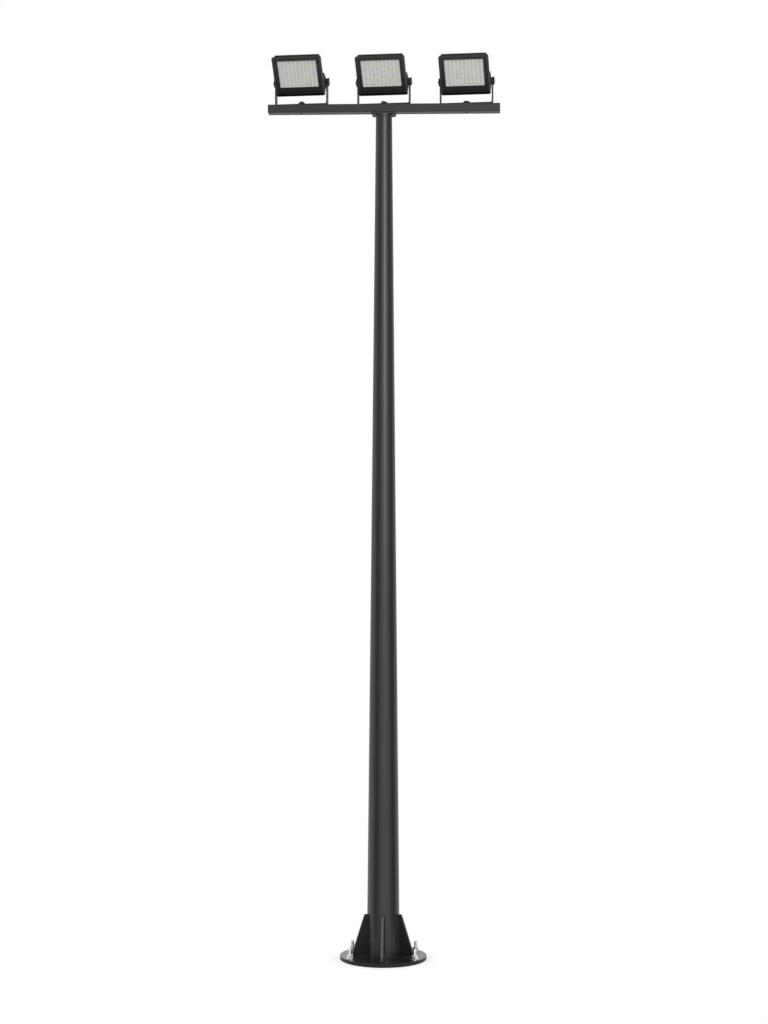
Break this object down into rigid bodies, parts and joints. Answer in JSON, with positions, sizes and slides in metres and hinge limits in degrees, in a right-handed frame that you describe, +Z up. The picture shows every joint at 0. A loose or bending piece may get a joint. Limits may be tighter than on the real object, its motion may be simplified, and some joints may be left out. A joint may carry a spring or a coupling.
{
  "type": "floodlight pole",
  "caption": "Tapered round steel mast on a gusseted base plate, with a crossbar whose floodlights swivel and tilt on U-brackets.",
  "frame": {"origin": "centre of the base plate's underside, at ground level", "axes": "+Z up the mast, X along the crossbar, the floodlights face -Y"},
  "size_m": [1.63, 0.608, 6.3216],
  "materials": {
    "mast_paint": "satin anthracite powder coat",
    "bracket_paint": "satin dark grey powder coat",
    "black_paint": "matt black paint",
    "dark_bolts": "dark zinc",
    "zinc_bolts": "bright zinc",
    "lamp_casting": "matt black powder coat over cast aluminium",
    "lamp_glass": "clear toughened glass",
    "light_board": "white light board",
    "black_plastic": "matt black plastic"
  },
  "bodies": {
    "mast": {"base_plate": "mast_paint", "gusset_front": "mast_paint", "gusset_right": "mast_paint", "gusset_back_right": "mast_paint", "gusset_back_left": "mast_paint", "gusset_left": "mast_paint", "pole_shaft": "mast_paint", "top_collar": "mast_paint", "top_flange": "mast_paint", "flange_bolts": "dark_bolts", "crossbar": "mast_paint", "end_cap_left": "black_plastic", "end_cap_right": "black_plastic", "swivel_bolts": "zinc_bolts", "swivel_cups": "black_paint"},
    "left_yoke": {"left_bracket": "bracket_paint"},
    "left_lamp": {"left_housing": "lamp_casting", "left_heat_sink": "lamp_casting", "left_bezel": "lamp_casting", "left_glass": "lamp_glass", "left_led_board": "light_board", "left_driver_box": "lamp_casting", "left_cable_gland": "black_plastic", "left_pivot_bolts": "zinc_bolts", "left_clamp_discs": "black_paint"},
    "centre_yoke": {"centre_bracket": "bracket_paint"},
    "centre_lamp": {"centre_housing": "lamp_casting", "centre_heat_sink": "lamp_casting", "centre_bezel": "lamp_casting", "centre_glass": "lamp_glass", "centre_led_board": "light_board", "centre_driver_box": "lamp_casting", "centre_cable_gland": "black_plastic", "centre_pivot_bolts": "zinc_bolts", "centre_clamp_discs": "black_paint"},
    "right_yoke": {"right_bracket": "bracket_paint"},
    "right_lamp": {"right_housing": "lamp_casting", "right_heat_sink": "lamp_casting", "right_bezel": "lamp_casting", "right_glass": "lamp_glass", "right_led_board": "light_board", "right_driver_box": "lamp_casting", "right_cable_gland": "black_plastic", "right_pivot_bolts": "zinc_bolts", "right_clamp_discs": "black_paint"}
  },
  "joints": [
    {"name": "left_swivel", "type": "hinge", "parent": "mast", "child": "left_yoke", "pos_m": [-0.58, 0, 6], "axis": [0, 0, 1], "range_deg": [-38.5, 51.5]},
    {"name": "left_tilt", "type": "hinge", "parent": "left_yoke", "child": "left_lamp", "pos_m": [-0.58, 0, 6.16], "axis": [0.9936, -0.1132, 0], "range_deg": [-38, 52]},
    {"name": "centre_swivel", "type": "hinge", "parent": "mast", "child": "centre_yoke", "pos_m": [0, 0, 6], "axis": [0, 0, 1], "range_deg": [-38.5, 51.5]},
    {"name": "centre_tilt", "type": "hinge", "parent": "centre_yoke", "child": "centre_lamp", "pos_m": [0, 0, 6.16], "axis": [0.9936, -0.1132, 0], "range_deg": [-38, 52]},
    {"name": "right_swivel", "type": "hinge", "parent": "mast", "child": "right_yoke", "pos_m": [0.58, 0, 6], "axis": [0, 0, 1], "range_deg": [-38.5, 51.5]},
    {"name": "right_tilt", "type": "hinge", "parent": "right_yoke", "child": "right_lamp", "pos_m": [0.58, 0, 6.16], "axis": [0.9936, -0.1132, 0], "range_deg": [-38, 52]}
  ]
}
